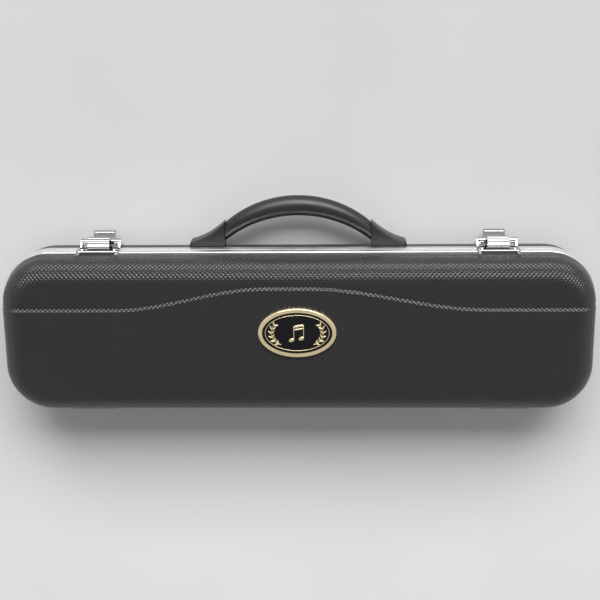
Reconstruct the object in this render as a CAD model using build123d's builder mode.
from build123d import *
from math import asin, cos, radians, sin, tan
import os

# Hard flute case. It lies on its base with the lid closed: X is its length, the latches and the
# handle are on the front (-Y), the hinges on the back (+Y) and Z is up. The origin is the centre
# of the base's resting face. Everything is in millimetres.
# "out" is measured from the outer face of the valance, away from the case, and "up" from the
# parting plane between the base and the lid.

# Case
case_length = 420.0
case_width = 114.0
base_depth = 32.0
lid_depth = 32.0
corner_radius = 34.5
shell_wall = 2.5
draft = 3.5                # lean of the shells' walls, degrees
base_shoulder = 12.0       # rounding of the base's floor edge
lid_shoulder = 15.0        # rounding of the lid's top edge

# Valances, the aluminium frames on the two rims
valance_height = 7.0
valance_proud = 1.0        # how far a valance stands out from its shell
valance_lip = 3.0          # leg inside the shell's wall
valance_web = 3.2          # metal between the rim of a shell and the parting plane
valance_round = 0.6
valance_edge = 0.4
seam_gap = 0.2             # between the closed lid and the base
rim_fit = 0.05             # between a shell's rim and its channel
tongue_inset = 3.4
tongue_width = 1.2
tongue_height = 1.3
tongue_clearance = 0.3

# Raised panel on the lid, its front edge a wave
panel_rise = 2.0
panel_bevel = 1.8
wave_crest_land = 3.4      # between the crest and the start of the lid's rounded edge
wave_drop = 15.6           # from the crest back to the wave's low stretches
wave_crest_ends = (-5.0, 20.0)
wave_foot_ends = (-135.0, 130.0)

# Badge
badge_length = 54.5
badge_width = 35.5
badge_y = -5.5
badge_rim_width = 2.8
badge_height = 2.2
badge_back = 0.8
badge_inlay_thickness = 0.7
badge_round = 0.9
badge_fit = 0.05

# Insert in the base and pad in the lid
insert_drop = 2.5          # from the parting plane down to the insert
insert_fit = 0.4           # between the insert and the valance's lip
lining = 1.2
pad_drop = 5.5             # from the parting plane up to the pad
pocket_front_margin = 9.0  # from the insert's front to the pockets
pocket_back_margin = 6.2
pocket_land = 5.0          # between neighbouring rows
pocket_corner = 6.0
pocket_bed = 3.8           # foam under a pocket
pocket_floor_round = 5.0
body_end_land = 24.0       # from the case's end to the body joint's pocket
rod_end_land = 45.0
head_end_land = 31.0
head_foot_land = 12.0
foot_length = 128.0
head_narrowing = 6.0       # of the head joint's pocket, against its neighbours
rod_width = 7.0
rod_depth = 14.0
notch_width = 26.0
notch_depth = 13.0
notch_reach = 12.0
notch_places = (-95.0, 105.0)

# Sheet fittings and their fasteners
plate = 1.0
rivet_shank = 1.1
rivet_head = 1.9
rivet_head_height = 0.8
rivet_head_lean = 35.0
rivet_tail = 1.7
rivet_tail_height = 0.6
rivet_fit = 0.03
pin_radius = 1.0
pin_fit = 0.02             # in the piece that carries the pin
pin_run = 0.05             # in the piece that turns on it
pin_overhang = 0.4         # of a pin past the outer ears

# Hinges
hinge_from_end = 63.0      # from the case's end to a hinge's middle
hinge_width = 33.0
hinge_out = 3.2
knuckle_radius = 1.9
knuckle_gap = 0.3
leaf_start = 0.6
leaf_gusset = 4.0
leaf_rivet_edge = 5.5      # from a leaf's side edge and its far edge
leaf_rivet_drop = 6.5      # below the valance, along the wall

# Latches
latch_from_end = 69.0
latch_plate_width = 28.4
latch_plate_start = 0.8
latch_rivet_edge = 3.6     # from the plate's side edge
latch_rivet_drop = 11.5
latch_plate_tail = 3.5     # of the plate past its rivets
pivot_out, pivot_up = 4.2, -8.0
ear_radius = 2.0
ear_top = -3.0
ear_foot = -15.0
crank = 6.0                # from the lever's pivot to the claw's
over_centre = 10.0         # how far the claw's pivot is past the line of pull, degrees
lever_width = 15.6
lever_arm = 1.2
lever_hub = 1.9
lever_boss = 2.3
lever_heel = (3.4, -22.0)
lever_heel_radius = 0.9
side_gap = 0.2             # between turning pieces that lie side by side
finger_sheet = 1.4
finger_path = [(3.3, -18.2), (3.3, -22.4), (7.4, -26.8)]
finger_bend = 3.0
claw_sheet = 1.3
claw_barrel = 2.0
claw_elbow = (6.2, -9.6)
claw_neck = (8.3, -2.0)
claw_top_out = 8.6
claw_tip_out = 2.85
claw_bend = 1.6
claw_gap = 0.25            # between the hook and the strike's lip
claw_wide_from = -4.4
strike_width = 30.0
strike_start = 0.6
strike_lip_out = 4.6
strike_lip_top = 3.35
strike_tab_width = 2.4
strike_tab_reach = 13.5
strike_rivet_edge = 3.5    # from the strike's side edge
strike_rivet_low = 1.8     # below the valance's far edge
strike_rivet_radius = 0.9
strike_rivet_land = 0.3    # of the valance's outer leg behind a strike's rivet
strike_rivet_head = 1.4
strike_lip_sheet = 1.2

# Handle
handle_up = -15.5          # height of its pivot axis
handle_out = 8.4           # its pivot axis
handle_span = 104.8        # between the boots
grip_out = 28.4            # middle of the grip's centre line
grip_end_out = 9.4         # and its ends
grip_mid = (14.6, 14.0)    # radial and sideways thickness at the middle
grip_end = (8.9, 11.0)
grip_gap = 0.3
grip_sections = 7
grip_overrun = 6.0         # of the lofted grip past its trimmed ends, degrees
spigot_radius = 2.4
spigot_length = 6.0
spigot_root = 2.0
spigot_run = 0.05
spigot_end_gap = 0.4
boot_width = 13.2
boot_apex = 17.2
boot_slope = [(10.1, 9.2), (19.6, 4.6), (25.2, 3.0)]
boot_nose_round = 2.4
boot_sink = 6.0
boot_round = 1.4
screw_places = (5.0, 14.0)
screw_radius = 1.3
screw_depth = 5.8
screw_head = 2.6
screw_head_height = 1.3

# Sizes that follow
parting = base_depth
case_height = base_depth + lid_depth
half_length = case_length / 2
half_width = case_width / 2
base_knee = parting - valance_height
lid_knee = parting + valance_height
lid_flat = case_height - panel_rise
lip_inset = valance_proud + shell_wall + valance_lip
insert_inset = lip_inset + insert_fit
insert_top = parting - insert_drop
insert_width = case_width - 2 * insert_inset
pad_face = parting + pad_drop
wave_crest = valance_proud + lid_shoulder + wave_crest_land - half_width
wave_foot = wave_crest + wave_drop
joint_width = (insert_width - pocket_front_margin - pocket_back_margin - rod_width) / 2 - pocket_land
row_length = 2 * (half_length - head_end_land)
body_pocket = (2 * (half_length - body_end_land), joint_width)
rod_pocket = (2 * (half_length - rod_end_land), rod_width)
foot_pocket = (foot_length, joint_width)
head_pocket = (row_length - head_foot_land - foot_length, joint_width - head_narrowing)
pocket_depth = insert_top - lining - pocket_bed - shell_wall
hinge_x = half_length - hinge_from_end
leaf_rivet_x = hinge_width / 2 - leaf_rivet_edge
leaf_reach = valance_height + leaf_rivet_drop + leaf_rivet_edge
latch_x = half_length - latch_from_end
latch_rivet_x = latch_plate_width / 2 - latch_rivet_edge
latch_plate_reach = valance_height + latch_rivet_drop + latch_plate_tail
strike_rivet_x = strike_width / 2 - strike_rivet_edge
strike_rivet_up = valance_height - strike_rivet_low
strike_rivet_depth = valance_proud - strike_rivet_land
handle_z = parting + handle_up
claw_pivot_out = pivot_out - crank * sin(radians(over_centre))
claw_pivot_up = pivot_up - crank * cos(radians(over_centre))
FRONT, BACK = -1, 1
BASE, LID = -1, 1


os.makedirs("parts", exist_ok=True)


def at(side, out, up):
    """Y and Z of a point beside the front or back valance."""
    return (side * (half_width + out), parting + up)


def wall_out(up):
    """Out of the shell's leaning wall, this far from the parting plane."""
    return -valance_proud - (up - valance_height) * tan(radians(draft))


def wall_plane(side, half):
    """Plane on the shell's long wall at the valance's edge: local x along the case, y up the wall."""
    normal = (0, side * cos(radians(draft)), half * sin(radians(draft)))
    origin = (0, side * (half_width - valance_proud), parting + half * valance_height)
    return Plane(origin=origin, x_dir=(-side, 0, 0), z_dir=normal)


def outline(inset, mode=Mode.ADD):
    """Outline of the case, this far inside the valance's outer face."""
    RectangleRounded(case_length - 2 * inset, case_width - 2 * inset, corner_radius - inset, mode=mode)


def band(low, high, inset, mode=Mode.ADD):
    """Upright-sided block of the outline between two heights."""
    with BuildSketch(Plane.XY.offset(low)) as section:
        outline(inset)
    extrude(section.sketch, amount=high - low, mode=mode)


def ring(low, high, outer, inner, mode=Mode.ADD):
    """Frame between two insets of the outline."""
    with BuildSketch(Plane.XY.offset(low)) as section:
        outline(outer)
        outline(inner, mode=Mode.SUBTRACT)
    extrude(section.sketch, amount=high - low, mode=mode)


def tub(knee, floor, inset, shoulder):
    """Block whose walls lean in from the knee to the floor, with the floor's edge rounded."""
    with BuildSketch(Plane.XY.offset(knee)) as section:
        outline(inset)
    extrude(section.sketch, amount=floor - knee, taper=draft)
    floor_face = faces().sort_by(Axis.Z)[0 if floor < knee else -1]
    fillet(floor_face.edges(), shoulder)


def finish_piece(piece, name):
    """Names a finished piece and writes it."""
    piece.label = name
    export_step(piece, f"parts/{name}.step")


def discs(plane, points, radius, height, taper=0.0, mode=Mode.ADD):
    """Equal round posts, or holes, that stand on a plane."""
    with BuildSketch(plane) as section:
        with Locations(*points):
            Circle(radius)
    extrude(section.sketch, amount=height, taper=taper, mode=mode)


def rivet_holes(plane, points, radius=rivet_shank + rivet_fit):
    """Holes through a plate and the shell's wall."""
    discs(plane.offset(2 * plate), points, radius, -2 * (plate + shell_wall), mode=Mode.SUBTRACT)


def rivets(plane, points):
    """Rivets with their heads on the plate and their tails inside the shell."""
    discs(plane.offset(-shell_wall), points, rivet_shank, plate + shell_wall)
    discs(plane.offset(plate), points, rivet_head, rivet_head_height, rivet_head_lean)
    discs(plane.offset(-shell_wall), points, rivet_tail, -rivet_tail_height)


def cross_disc(x, spot, radius, width, mode=Mode.ADD):
    """Round bar, or bore, along X through a spot beside the front valance, centred on x."""
    with BuildSketch(Plane.YZ.offset(x)) as section:
        with Locations(at(FRONT, *spot)):
            Circle(radius)
    extrude(section.sketch, amount=width / 2, both=True, mode=mode)


def upright_section(x, width, side, corners, mode=Mode.ADD):
    """Bar along X, centred on x, whose section has these corners (out, up)."""
    with BuildSketch(Plane.YZ.offset(x)) as section:
        with BuildLine():
            Polyline([at(side, out, up) for out, up in corners], close=True)
        make_face()
    extrude(section.sketch, amount=width / 2, both=True, mode=mode)


def bent_sheet(x, width, path, bend, thickness):
    """Strip of sheet along X, centred on x, bent along a path (out, up) beside the front valance."""
    with BuildSketch(Plane.YZ.offset(x)) as section:
        with BuildLine() as centre:
            FilletPolyline([at(FRONT, *spot) for spot in path], radius=bend)
        trace(centre.line, line_width=thickness)
    extrude(section.sketch, amount=width / 2, both=True)


def stepped_plate(x, width, side, half, start, reach):
    """Plate that lies on the valance and steps in onto the shell's wall."""
    step = valance_height
    corners = [(0, start), (plate, start), (plate, step + plate),
               (wall_out(step + plate) + plate, step + plate), (wall_out(reach) + plate, reach),
               (wall_out(reach), reach), (wall_out(step), step), (0, step)]
    upright_section(x, width, side, [(out, half * up) for out, up in corners])


# Shells
with BuildPart() as base_form:
    tub(base_knee, 0, valance_proud, base_shoulder)
    band(base_knee, parting - valance_web, valance_proud)

with BuildPart() as base_cavity:
    tub(base_knee, shell_wall, valance_proud + shell_wall, base_shoulder - shell_wall)
    band(base_knee, parting, valance_proud + shell_wall)

with BuildPart() as lid_cavity:
    tub(lid_knee, lid_flat - shell_wall, valance_proud + shell_wall, lid_shoulder - shell_wall)
    band(parting, lid_knee, valance_proud + shell_wall)

with BuildPart() as panel_form:
    tub(lid_knee, case_height, valance_proud, lid_shoulder)
    with BuildSketch(Plane.XY.offset(parting)):
        with BuildLine():
            left_foot = Line((-half_length, wave_foot), (wave_foot_ends[0], wave_foot))
            rise = Spline(left_foot @ 1, (wave_crest_ends[0], wave_crest), tangents=[(1, 0), (1, 0)])
            crest = Line(rise @ 1, (wave_crest_ends[1], wave_crest))
            fall = Spline(crest @ 1, (wave_foot_ends[1], wave_foot), tangents=[(1, 0), (1, 0)])
            right_foot = Line(fall @ 1, (half_length, wave_foot))
            Polyline(right_foot @ 1, (half_length, half_width), (-half_length, half_width), left_foot @ 0)
        make_face()
    extrude(amount=lid_depth, mode=Mode.INTERSECT)
    front_edges = faces().sort_by(Axis.Z)[-1].edges().sort_by(Axis.Y)
    chamfer(front_edges[:5], panel_bevel)      # the crest, its two flanks and the two feet

valance_face = Plane(origin=(0, -half_width, parting), x_dir=(1, 0, 0), z_dir=(0, -1, 0))
base_wall_front = wall_plane(FRONT, BASE)
base_wall_back = wall_plane(BACK, BASE)
lid_wall_back = wall_plane(BACK, LID)
latch_rivet_points = [(x + dx, -latch_rivet_drop) for x in (-latch_x, latch_x)
                      for dx in (-latch_rivet_x, latch_rivet_x)]
hinge_rivet_points = [(x + dx, leaf_rivet_drop) for x in (-hinge_x, hinge_x)
                      for dx in (-leaf_rivet_x, leaf_rivet_x)]
boot_inner = handle_span / 2
screw_drop = (base_knee - handle_z) / cos(radians(draft))
boot_length = boot_slope[-1][0]
screw_points = [(side * (boot_inner + place), -screw_drop) for side in (-1, 1) for place in screw_places]

with BuildPart() as base_shell:
    add(base_form.part)
    add(base_cavity.part, mode=Mode.SUBTRACT)
    rivet_holes(base_wall_front, latch_rivet_points)
    rivet_holes(base_wall_back, [(x, -drop) for x, drop in hinge_rivet_points])
    rivet_holes(base_wall_front, screw_points, screw_radius + rivet_fit)
finish_piece(base_shell.part, "base_shell")

with BuildPart() as lid_shell:
    tub(lid_knee, lid_flat, valance_proud, lid_shoulder)
    band(parting + valance_web, lid_knee, valance_proud)
    add(panel_form.part)
    add(lid_cavity.part, mode=Mode.SUBTRACT)
    rivet_holes(lid_wall_back, hinge_rivet_points)
finish_piece(lid_shell.part, "lid_shell")


# Valances
def on_outline(edge):
    """Whether an edge lies on the outer face of a valance."""
    middle = edge @ 0.5
    past_x = max(abs(middle.X) - (half_length - corner_radius), 0)
    past_y = max(abs(middle.Y) - (half_width - corner_radius), 0)
    return abs(Vector(past_x, past_y).length - corner_radius) < rim_fit


def round_outside(height, radius):
    """Rounds the outer edge of a valance at this height."""
    rim_edges = edges().filter_by_position(Axis.Z, height - seam_gap / 2, height + seam_gap / 2)
    fillet([edge for edge in rim_edges if on_outline(edge)], radius)


with BuildPart() as base_valance:
    ring(base_knee, parting, 0, lip_inset)
    ring(base_knee, parting - valance_web, valance_proud - rim_fit, valance_proud + shell_wall + rim_fit,
         mode=Mode.SUBTRACT)
    ring(parting - tongue_height - tongue_clearance, parting, tongue_inset - tongue_clearance,
         tongue_inset + tongue_width + tongue_clearance, mode=Mode.SUBTRACT)
    round_outside(base_knee, valance_round)
    round_outside(parting, valance_edge)
finish_piece(base_valance.part, "base_valance")

with BuildPart() as lid_valance:
    ring(parting + seam_gap, lid_knee, 0, lip_inset)
    ring(parting + valance_web, lid_knee, valance_proud - rim_fit, valance_proud + shell_wall + rim_fit,
         mode=Mode.SUBTRACT)
    ring(parting - tongue_height, parting + seam_gap, tongue_inset, tongue_inset + tongue_width)
    round_outside(lid_knee, valance_round)
    round_outside(parting + seam_gap, valance_edge)
    discs(valance_face, [(side * latch_x + dx, strike_rivet_up) for side in (-1, 1)
                         for dx in (-strike_rivet_x, strike_rivet_x)],
          strike_rivet_radius + rivet_fit, -strike_rivet_depth, mode=Mode.SUBTRACT)
finish_piece(lid_valance.part, "lid_valance")


# Insert in the base and pad in the lid
def pocket_forms(grow):
    """Forms of the pockets for the instrument's three joints and the cleaning rod, and of the notches
    for fingers, each grown by the thickness of the lining."""
    body_y = pocket_front_margin + (joint_width - insert_width) / 2
    rod_y = body_y + (body_pocket[1] + rod_pocket[1]) / 2 + pocket_land
    head_y = rod_y + (rod_pocket[1] + foot_pocket[1]) / 2 + pocket_land
    places = [(body_pocket, 0, body_y, pocket_depth), (rod_pocket, 0, rod_y, rod_depth),
              (head_pocket, (head_pocket[0] - row_length) / 2, head_y, pocket_depth),
              (foot_pocket, (row_length - foot_length) / 2, head_y, pocket_depth)]
    for (length, width), x, y, depth in places:
        corner = min(pocket_corner, width / 2 - lining) + grow
        with BuildSketch(Plane.XY.offset(insert_top)) as section:
            with Locations((x, y)):
                RectangleRounded(length + 2 * grow, width + 2 * grow, corner)
        extrude(section.sketch, amount=-depth - grow)
        floor_edges = edges(Select.LAST).group_by(Axis.Z)[0]
        fillet(floor_edges, min(pocket_floor_round, width / 2 - lining) + grow)
    notch_start = body_y - notch_reach / 2
    notch_end = head_y + notch_reach / 2
    with BuildSketch(Plane.XY.offset(insert_top)) as section:
        with Locations(*[(x, (notch_start + notch_end) / 2) for x in notch_places]):
            RectangleRounded(notch_width + 2 * grow, notch_end - notch_start + 2 * grow, pocket_corner + grow)
    extrude(section.sketch, amount=-notch_depth - grow)


with BuildPart() as pocket_voids:
    pocket_forms(0)

with BuildPart() as liner_form:
    pocket_forms(lining)

with BuildPart() as insert_foam:
    tub(base_knee, shell_wall, insert_inset, base_shoulder - shell_wall)
    band(base_knee, insert_top - lining, insert_inset)
    add(liner_form.part, mode=Mode.SUBTRACT)
finish_piece(insert_foam.part, "insert_foam")

with BuildPart() as insert_lining:
    band(insert_top - lining, insert_top, insert_inset)
    add(liner_form.part)
    add(pocket_voids.part, mode=Mode.SUBTRACT)
finish_piece(insert_lining.part, "insert_lining")

with BuildPart() as lid_pad:
    tub(pad_face + lining, lid_flat - shell_wall, insert_inset, lid_shoulder - shell_wall)
finish_piece(lid_pad.part, "lid_pad")

with BuildPart() as lid_pad_lining:
    band(pad_face, pad_face + lining, insert_inset)
finish_piece(lid_pad_lining.part, "lid_pad_lining")


# Badge
def badge_oval(inset, low, high, mode=Mode.ADD):
    """Oval slab of the badge between two heights above the panel."""
    with BuildSketch(Plane.XY.offset(case_height + low)) as section:
        with Locations((0, badge_y)):
            Ellipse(badge_length / 2 - inset, badge_width / 2 - inset)
    extrude(section.sketch, amount=high - low, mode=mode)


with BuildPart() as badge_bezel:
    badge_oval(0, 0, badge_height)
    fillet(faces().sort_by(Axis.Z)[-1].edges(), badge_round)
    badge_oval(badge_rim_width, badge_back, badge_height, mode=Mode.SUBTRACT)
finish_piece(badge_bezel.part, "badge_bezel")

with BuildPart() as badge_inlay:
    badge_oval(badge_rim_width + badge_fit, badge_back, badge_back + badge_inlay_thickness)
finish_piece(badge_inlay.part, "badge_inlay")


# Hinges
def knuckle(x, width, half):
    """Knuckle round the hinge's axis, with the web that joins it to its leaf."""
    with BuildSketch(Plane.YZ.offset(x)) as section:
        with Locations(at(BACK, hinge_out, 0)):
            Circle(knuckle_radius)
        with BuildLine():
            web = [(0, leaf_start), (hinge_out, leaf_start), (hinge_out, knuckle_radius), (0, leaf_gusset)]
            Polyline([at(BACK, out, half * up) for out, up in web], close=True)
        make_face()
    extrude(section.sketch, amount=width / 2, both=True)


def hinge_bore(x, fit):
    """Bore for the hinge's pin."""
    with BuildSketch(Plane.YZ.offset(x)) as section:
        with Locations(at(BACK, hinge_out, 0)):
            Circle(pin_radius + fit)
    extrude(section.sketch, amount=hinge_width, both=True, mode=Mode.SUBTRACT)


knuckle_width = (hinge_width - 2 * knuckle_gap) / 3
for side, name in ((-1, "left"), (1, "right")):
    x = side * hinge_x
    leaf_points = [(x + dx, leaf_rivet_drop) for dx in (-leaf_rivet_x, leaf_rivet_x)]
    base_points = [(-px, -drop) for px, drop in leaf_points]
    lid_points = [(-px, drop) for px, drop in leaf_points]

    with BuildPart() as base_leaf:
        stepped_plate(x, hinge_width, BACK, BASE, leaf_start, leaf_reach)
        for end in (-1, 1):
            knuckle(x + end * (hinge_width - knuckle_width) / 2, knuckle_width, BASE)
        hinge_bore(x, pin_fit)
        rivet_holes(base_wall_back, base_points)
    finish_piece(base_leaf.part, f"hinge_base_leaf_{name}")

    with BuildPart() as lid_leaf:
        stepped_plate(x, hinge_width, BACK, LID, leaf_start, leaf_reach)
        knuckle(x, knuckle_width, LID)
        hinge_bore(x, pin_run)
        rivet_holes(lid_wall_back, lid_points)
    finish_piece(lid_leaf.part, f"hinge_lid_leaf_{name}")

    with BuildPart() as hinge_pin:
        with BuildSketch(Plane.YZ.offset(x)):
            with Locations(at(BACK, hinge_out, 0)):
                Circle(pin_radius)
        extrude(amount=hinge_width / 2 + pin_overhang, both=True)
    finish_piece(hinge_pin.part, f"hinge_pin_{name}")

    with BuildPart() as base_leaf_rivets:
        rivets(base_wall_back, base_points)
    finish_piece(base_leaf_rivets.part, f"hinge_base_rivets_{name}")

    with BuildPart() as lid_leaf_rivets:
        rivets(lid_wall_back, lid_points)
    finish_piece(lid_leaf_rivets.part, f"hinge_lid_rivets_{name}")


# Latches
def hull_of(x, width, rounds):
    """Flat link along X, centred on x, wrapped round discs given as (spot, radius)."""
    with BuildSketch(Plane.YZ.offset(x)) as section:
        for spot, radius in rounds:
            with Locations(at(FRONT, *spot)):
                Circle(radius)
        make_hull()
    extrude(section.sketch, amount=width / 2, both=True)


pivot = (pivot_out, pivot_up)
claw_pivot = (claw_pivot_out, claw_pivot_up)
ear_middle = (latch_plate_width - plate) / 2
ear_inner = latch_plate_width / 2 - plate
hub_outer = ear_inner - side_gap
arm_middle = (lever_width - lever_arm) / 2
claw_width = lever_width - 2 * lever_arm - 2 * side_gap
claw_top = strike_lip_top + claw_gap + claw_sheet / 2
claw_path = [claw_pivot, claw_elbow, claw_neck, (claw_top_out, claw_top), (claw_tip_out, claw_top)]

for side, name in ((-1, "left"), (1, "right")):
    x = side * latch_x
    plate_points = [(x + dx, -latch_rivet_drop) for dx in (-latch_rivet_x, latch_rivet_x)]
    strike_points = [(x + dx, strike_rivet_up) for dx in (-strike_rivet_x, strike_rivet_x)]

    with BuildPart() as latch_plate:
        stepped_plate(x, latch_plate_width, FRONT, BASE, latch_plate_start, latch_plate_reach)
        for end in (-1, 1):
            ear = [(0, ear_top), (pivot_out, pivot_up + ear_radius), (pivot_out, pivot_up - ear_radius),
                   (wall_out(-ear_foot), ear_foot), (wall_out(valance_height), -valance_height),
                   (0, -valance_height)]
            upright_section(x + end * ear_middle, plate, FRONT, ear)
            cross_disc(x + end * ear_middle, pivot, ear_radius, plate)
        cross_disc(x, pivot, pin_radius + pin_fit, 2 * latch_plate_width, mode=Mode.SUBTRACT)
        rivet_holes(base_wall_front, plate_points)
    finish_piece(latch_plate.part, f"latch_plate_{name}")

    with BuildPart() as plate_rivets:
        rivets(base_wall_front, plate_points)
    finish_piece(plate_rivets.part, f"latch_rivets_{name}")

    with BuildPart() as pivot_pin:
        cross_disc(x, pivot, pin_radius, latch_plate_width + 2 * pin_overhang)
    finish_piece(pivot_pin.part, f"latch_pivot_pin_{name}")

    with BuildPart() as lever:
        for end in (-1, 1):
            hull_of(x + end * arm_middle, lever_arm, [(pivot, lever_boss), (claw_pivot, lever_boss),
                                                      (lever_heel, lever_heel_radius)])
            cross_disc(x + end * (hub_outer + lever_width / 2 - lever_arm) / 2, pivot, lever_hub,
                       hub_outer - lever_width / 2 + lever_arm)
        bent_sheet(x, lever_width, finger_path, finger_bend, finger_sheet)
        cross_disc(x, pivot, pin_radius + pin_run, latch_plate_width, mode=Mode.SUBTRACT)
        cross_disc(x, claw_pivot, pin_radius + pin_fit, latch_plate_width, mode=Mode.SUBTRACT)
    finish_piece(lever.part, f"lever_{name}")

    with BuildPart() as claw_pin:
        cross_disc(x, claw_pivot, pin_radius, lever_width)
    finish_piece(claw_pin.part, f"claw_pin_{name}")

    with BuildPart() as claw:
        bent_sheet(x, lever_width, claw_path, claw_bend, claw_sheet)
        for end in (-1, 1):
            trim = (lever_width - claw_width) / 2
            upright_section(x + end * (lever_width - trim) / 2, trim, FRONT,
                            [(-plate, claw_wide_from), (-plate, -latch_plate_reach),
                             (latch_plate_reach, -latch_plate_reach), (latch_plate_reach, claw_wide_from)],
                            mode=Mode.SUBTRACT)
        cross_disc(x, claw_pivot, claw_barrel, claw_width)
        cross_disc(x, claw_pivot, pin_radius + pin_run, latch_plate_width, mode=Mode.SUBTRACT)
    finish_piece(claw.part, f"claw_{name}")

    with BuildPart() as strike:
        fold = valance_height + plate
        upright_section(x, strike_width, FRONT,
                        [(0, strike_start), (plate, strike_start), (plate, fold), (wall_out(fold), fold),
                         (wall_out(valance_height), valance_height), (0, valance_height)])
        lip_low = strike_lip_top - strike_lip_sheet
        upright_section(x, lever_width, FRONT, [(0, lip_low - plate), (strike_lip_out, lip_low),
                                                (strike_lip_out, strike_lip_top), (0, strike_lip_top)])
        for end in (-1, 1):
            stepped_plate(x + end * (strike_width - strike_tab_width) / 2, strike_tab_width, FRONT, LID,
                          strike_start, strike_tab_reach)
        discs(valance_face, strike_points, strike_rivet_radius + rivet_fit, 2 * plate, mode=Mode.SUBTRACT)
    finish_piece(strike.part, f"strike_{name}")

    with BuildPart() as strike_rivets:
        discs(valance_face.offset(-strike_rivet_depth), strike_points, strike_rivet_radius,
              strike_rivet_depth + plate)
        discs(valance_face.offset(plate), strike_points, strike_rivet_head, rivet_head_height,
              rivet_head_lean)
    finish_piece(strike_rivets.part, f"strike_rivets_{name}")


# Handle
grip_half = boot_inner - grip_gap
grip_rise = grip_out - grip_end_out
grip_radius = (grip_half ** 2 + grip_rise ** 2) / (2 * grip_rise)
grip_swing = asin(grip_half / grip_radius) + radians(grip_overrun)

with BuildPart() as grip:
    for step in range(grip_sections):
        share = 2 * step / (grip_sections - 1) - 1
        turn = share * grip_swing
        out = grip_out - grip_radius * (1 - cos(turn))
        radial, sideways = [mid + (end - mid) * share ** 2 for mid, end in zip(grip_mid, grip_end)]
        origin = (grip_radius * sin(turn), -half_width - out, handle_z)
        with BuildSketch(Plane(origin=origin, x_dir=(0, 0, 1), z_dir=(cos(turn), sin(turn), 0))):
            Ellipse(sideways / 2, radial / 2)
    loft()
    with BuildSketch(Plane.YZ):
        with Locations(at(FRONT, 0, handle_up)):
            Rectangle(2 * case_width, 2 * case_width)
    extrude(amount=grip_half, both=True, mode=Mode.INTERSECT)
    for side in (-1, 1):
        with BuildSketch(Plane.YZ.offset(side * (grip_half - spigot_root))):
            with Locations(at(FRONT, handle_out, handle_up)):
                Circle(spigot_radius)
        extrude(amount=side * (spigot_root + grip_gap + spigot_length))
finish_piece(grip.part, "handle_grip")

for side, name in ((-1, "left"), (1, "right")):
    def spot(along, out):
        """Point of a boot's outline, along the case from the boot's inner face."""
        return (side * (boot_inner + along), -half_width - out)

    boot_screw_points = [(side * (boot_inner + place), -screw_drop) for place in screw_places]

    with BuildPart() as boot:
        with BuildSketch(Plane.XY.offset(handle_z)):
            with BuildLine():
                slope = Spline(spot(0, boot_apex), *[spot(*place) for place in boot_slope])
                Polyline(slope @ 1, spot(boot_length, -boot_sink), spot(0, -boot_sink), slope @ 0)
            make_face()
            fillet(vertices().sort_by_distance(slope @ 1)[0], boot_nose_round)
        extrude(amount=boot_width / 2, both=True)
        outline_edges = faces().filter_by(Axis.Z).edges()
        fillet([edge for edge in outline_edges if abs((edge @ 0.5).X) > boot_inner
                and (edge @ 0.5).Y < -half_width + boot_sink], boot_round)
        add(base_form.part, mode=Mode.SUBTRACT)
        with BuildSketch(Plane.YZ.offset(side * boot_inner)):
            with Locations(at(FRONT, handle_out, handle_up)):
                Circle(spigot_radius + spigot_run)
        extrude(amount=side * (spigot_length + spigot_end_gap), mode=Mode.SUBTRACT)
        discs(base_wall_front, boot_screw_points, screw_radius + rivet_fit, screw_depth, mode=Mode.SUBTRACT)
    finish_piece(boot.part, f"handle_boot_{name}")

    with BuildPart() as boot_screws:
        discs(base_wall_front.offset(-shell_wall), boot_screw_points, screw_radius, shell_wall + screw_depth)
        discs(base_wall_front.offset(-shell_wall), boot_screw_points, screw_head, -screw_head_height)
    finish_piece(boot_screws.part, f"boot_screws_{name}")
